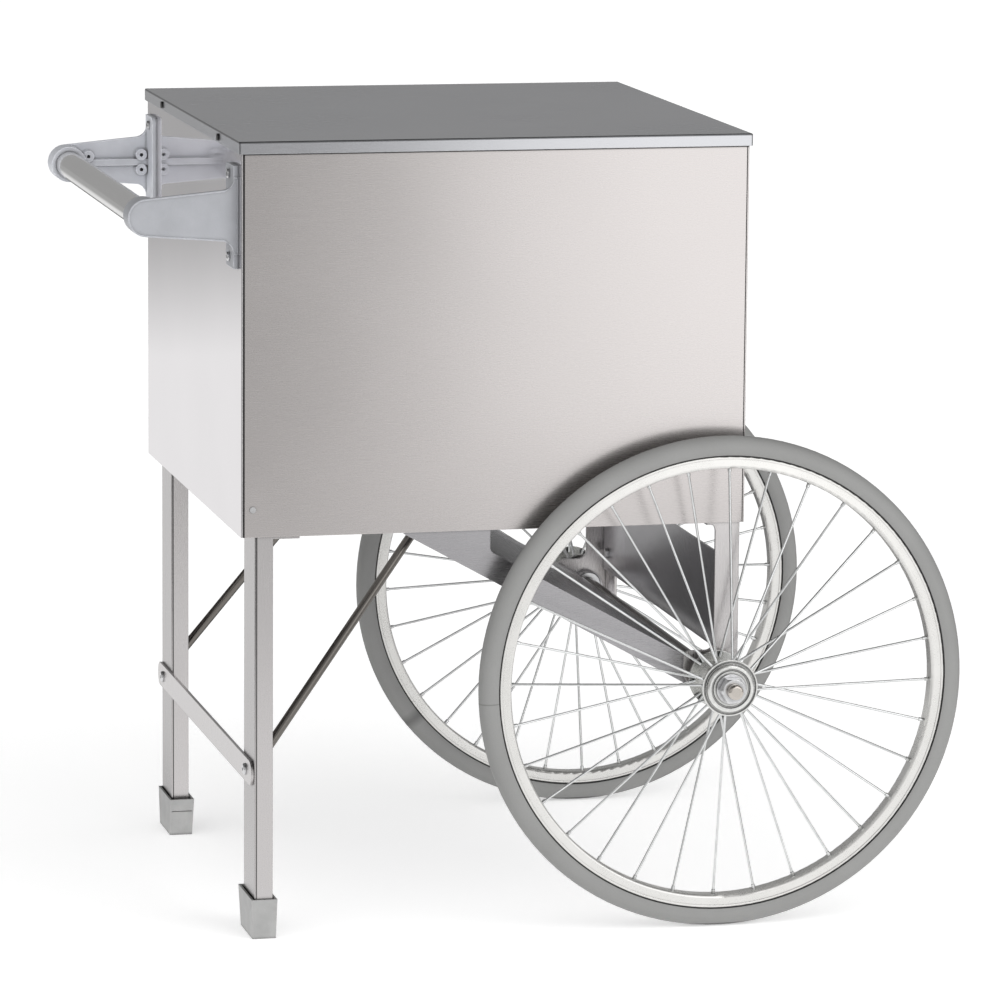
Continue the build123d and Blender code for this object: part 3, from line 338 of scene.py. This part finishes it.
def spoke_zinc():
    """Plated wire of the spokes and their nipples."""
    return paint("spoke_zinc", (0.88, 0.89, 0.89), 1.0, 0.17, SPECKLE, blotch=(60, 60, 60),
                 blotch_depth=0.08, edge=0.0003)


def hub_zinc():
    """Plating of hubs and dust caps, with deep painted shade in their grooves."""
    return paint("hub_zinc", (0.92, 0.92, 0.90), 1.0, 0.24, SPECKLE, blotch=(120, 120, 120),
                 blotch_depth=0.08, edge=0.0007, crevice_shade_depth=0.9)


def rim_metal():
    """Smooth pale metal of the rims."""
    return paint("rim_metal", (0.88, 0.87, 0.845), 0.85, 0.28, SPECKLE, blotch=(30, 30, 30),
                 bump=0.01, edge=0, grain_depth=0.01, rough_spread=0.01)


def tyre_rubber():
    """Solid grey rubber of the tyres."""
    return paint("tyre_rubber", (0.245, 0.245, 0.24), 0.0, 0.50, SPECKLE, blotch=(14, 14, 14),
                 blotch_depth=0.04, bump=0.06, edge_gain=0.1, crevice_shade_depth=0.8, shade=tyre_joints)


def knob_plastic():
    """Black plastic of the door's knob."""
    return paint("knob_plastic", (0.03, 0.03, 0.03), 0.0, 0.38, SPECKLE, bump=0.08, edge_gain=0.6)


def catch_plastic():
    """Pale plastic of the door's catch."""
    return paint("catch_plastic", (0.72, 0.72, 0.70), 0.0, 0.45, SPECKLE, bump=0.06)


MATERIALS = (deck_steel, panel_steel, polished_steel, inner_steel, leg_steel, frame_steel, axle_steel,
             foot_steel, handle_steel, cast_aluminium, hinge_steel, fastener_zinc, dark_screw,
             spoke_zinc, hub_zinc, rim_metal, tyre_rubber, knob_plastic, catch_plastic)


def dress():
    """Gives every CAD node the finish of its slot."""
    materials = {make.__name__: make() for make in MATERIALS}
    for part in frame["record"]["subparts"]:
        shape = frame["nodes"][part["node"]]
        shape.data.materials.clear()
        shape.data.materials.append(materials[part["material_slot"]])


# ---- floor, light and camera ----

def mirrored_floor(tree):
    """How bright the floor looks in metal: greyer far away, and darker beside and behind the wheels."""
    across = coordinate(tree, 0)
    depth = coordinate(tree, 1)
    behind = remap(tree, depth, 2.4, 6.2, 1.05, 0.40, smooth=True)
    before = remap(tree, depth, -3.0, -1.2, 0.42, 0.85, smooth=True)
    behind_wheels = product(tree, remap(tree, across, -0.45, -0.15, 0.0, 1.0, smooth=True),
                            remap(tree, depth, 0.1, 0.5, 0.0, 1.0, smooth=True))
    left_side = product(tree, remap(tree, across, -1.1, -1.7, 0.0, 1.0, smooth=True),
                        remap(tree, depth, 1.6, 0.9, 0.0, 1.0, smooth=True))
    dark = maths(tree, "MAXIMUM", behind_wheels, left_side)
    wheel_end = remap(tree, across, 1.9, 2.4, 1.0, DIM_FLOOR, smooth=True)
    return product(tree, maths(tree, "MINIMUM", behind, before),
                   remap(tree, dark, 0.0, 1.0, 1.0, DARK_FLOOR), wheel_end)


def make_floor():
    """Wide plain pale floor, which metal mirrors as a studio floor that fades into the distance."""
    bpy.ops.mesh.primitive_plane_add(size=FLOOR_SIZE, location=(0, 0, 0))
    floor = bpy.context.object
    floor.name = "floor"
    made, tree, shader = start("floor_paper", 0.0)
    soft = spread(tree, noise(tree, (2, 2, 2)), FLOOR_WHITE - 0.005, FLOOR_WHITE + 0.005)
    grey = add(tree, "ShaderNodeCombineColor", {0: soft, 1: soft, 2: soft})
    tree.links.new(grey.outputs[0], shader.inputs["Base Color"])
    shader.inputs["Roughness"].default_value = 0.9
    shader.inputs["Specular IOR Level"].default_value = 0.1
    lift = add(tree, "ShaderNodeEmission", {"Strength": FLOOR_LIFT}).outputs[0]
    plain = add(tree, "ShaderNodeAddShader", {0: shader.outputs[0], 1: lift}).outputs[0]
    mirrored = add(tree, "ShaderNodeEmission", {"Strength": mirrored_floor(tree)}).outputs[0]
    glossy = add(tree, "ShaderNodeLightPath").outputs["Is Glossy Ray"]
    mixed = add(tree, "ShaderNodeMixShader", {0: glossy, 1: plain, 2: mirrored})
    tree.links.new(mixed.outputs[0], tree.nodes["Material Output"].inputs["Surface"])
    made.cycles.emission_sampling = "NONE"
    floor.data.materials.append(made)


def make_sky():
    """Soft studio dome that is brightest in front. Metal mirrors a dark ceiling and a grey horizon."""
    world = bpy.data.worlds.new("studio")
    bpy.context.scene.world = world
    world.use_nodes = True
    world.cycles.sampling_method = "NONE"
    tree = world.node_tree
    direction = add(tree, "ShaderNodeTexCoord").outputs["Generated"]
    parts = add(tree, "ShaderNodeSeparateXYZ", {0: direction})
    height = parts.outputs[2]
    depth = parts.outputs[1]
    behind = remap(tree, height, 0.22, 0.48, 0.35, DARK_CEILING_BEHIND, smooth=True)
    before = remap(tree, height, 0.45, 0.75, 0.50, DARK_CEILING_BEFORE, smooth=True)
    front = remap(tree, depth, 0.2, -0.2, 0.0, 1.0)
    mirrored = add(tree, "ShaderNodeMix", {"Factor": front, "A": behind, "B": before}).outputs[0]
    soft = product(tree, remap(tree, depth, -0.9, 0.5, 1.60, 0.40),
                   remap(tree, height, 0.3, 1.0, 1.0, 0.75))
    glossy = add(tree, "ShaderNodeLightPath").outputs["Is Glossy Ray"]
    level = add(tree, "ShaderNodeMix", {"Factor": glossy, "A": soft, "B": mirrored}).outputs[0]
    back = tree.nodes["Background"]
    tree.links.new(level, back.inputs["Strength"])
    back.inputs["Color"].default_value = (1.0, 1.0, 1.0, 1.0)


def make_light(name, place, target, size, power):
    """A soft rectangular light that lights and reflects but isn't seen itself."""
    data = bpy.data.lights.new(name, "AREA")
    data.shape = "RECTANGLE"
    data.size, data.size_y = size
    data.energy = power
    lamp = bpy.data.objects.new(name, data)
    lamp.location = place
    lamp.rotation_euler = (Vector(target) - Vector(place)).to_track_quat("-Z", "Y").to_euler()
    lamp.visible_camera = False
    bpy.context.scene.collection.objects.link(lamp)


def make_lights():
    """A large key light above, and a low fill that brightens the wheel end of the right side."""
    make_light("key", (1.6, -2.6, 3.2), (0, 0, 0.4), (2.2, 2.2), 14)
    make_light("side_fill", (0.85, -1.75, 0.60), (0.22, -0.23, 0.60), (1.25, 0.9), 3.3)


def make_camera():
    """Camera at the photograph's viewing angle."""
    azimuth = radians(CAMERA_AZIMUTH)
    elevation = radians(CAMERA_ELEVATION)
    roll = radians(CAMERA_ROLL)
    back = Vector((sin(azimuth) * cos(elevation), -cos(azimuth) * cos(elevation), sin(elevation)))
    level_right = Vector((cos(azimuth), sin(azimuth), 0))
    level_up = back.cross(level_right)
    right = level_right * cos(roll) + level_up * sin(roll)
    up = level_up * cos(roll) - level_right * sin(roll)
    turn = Matrix((right, up, back)).transposed().to_4x4()
    data = bpy.data.cameras.new("camera")
    data.sensor_width = CAMERA_SENSOR
    data.lens = CAMERA_LENS
    data.clip_end = CAMERA_REACH
    camera = bpy.data.objects.new("camera", data)
    camera.matrix_world = Matrix.Translation(CAMERA_PLACE) @ turn
    bpy.context.scene.collection.objects.link(camera)
    bpy.context.scene.camera = camera


dress()
make_floor()
make_sky()
make_lights()
make_camera()
bpy.context.scene.view_settings.view_transform = "Standard"
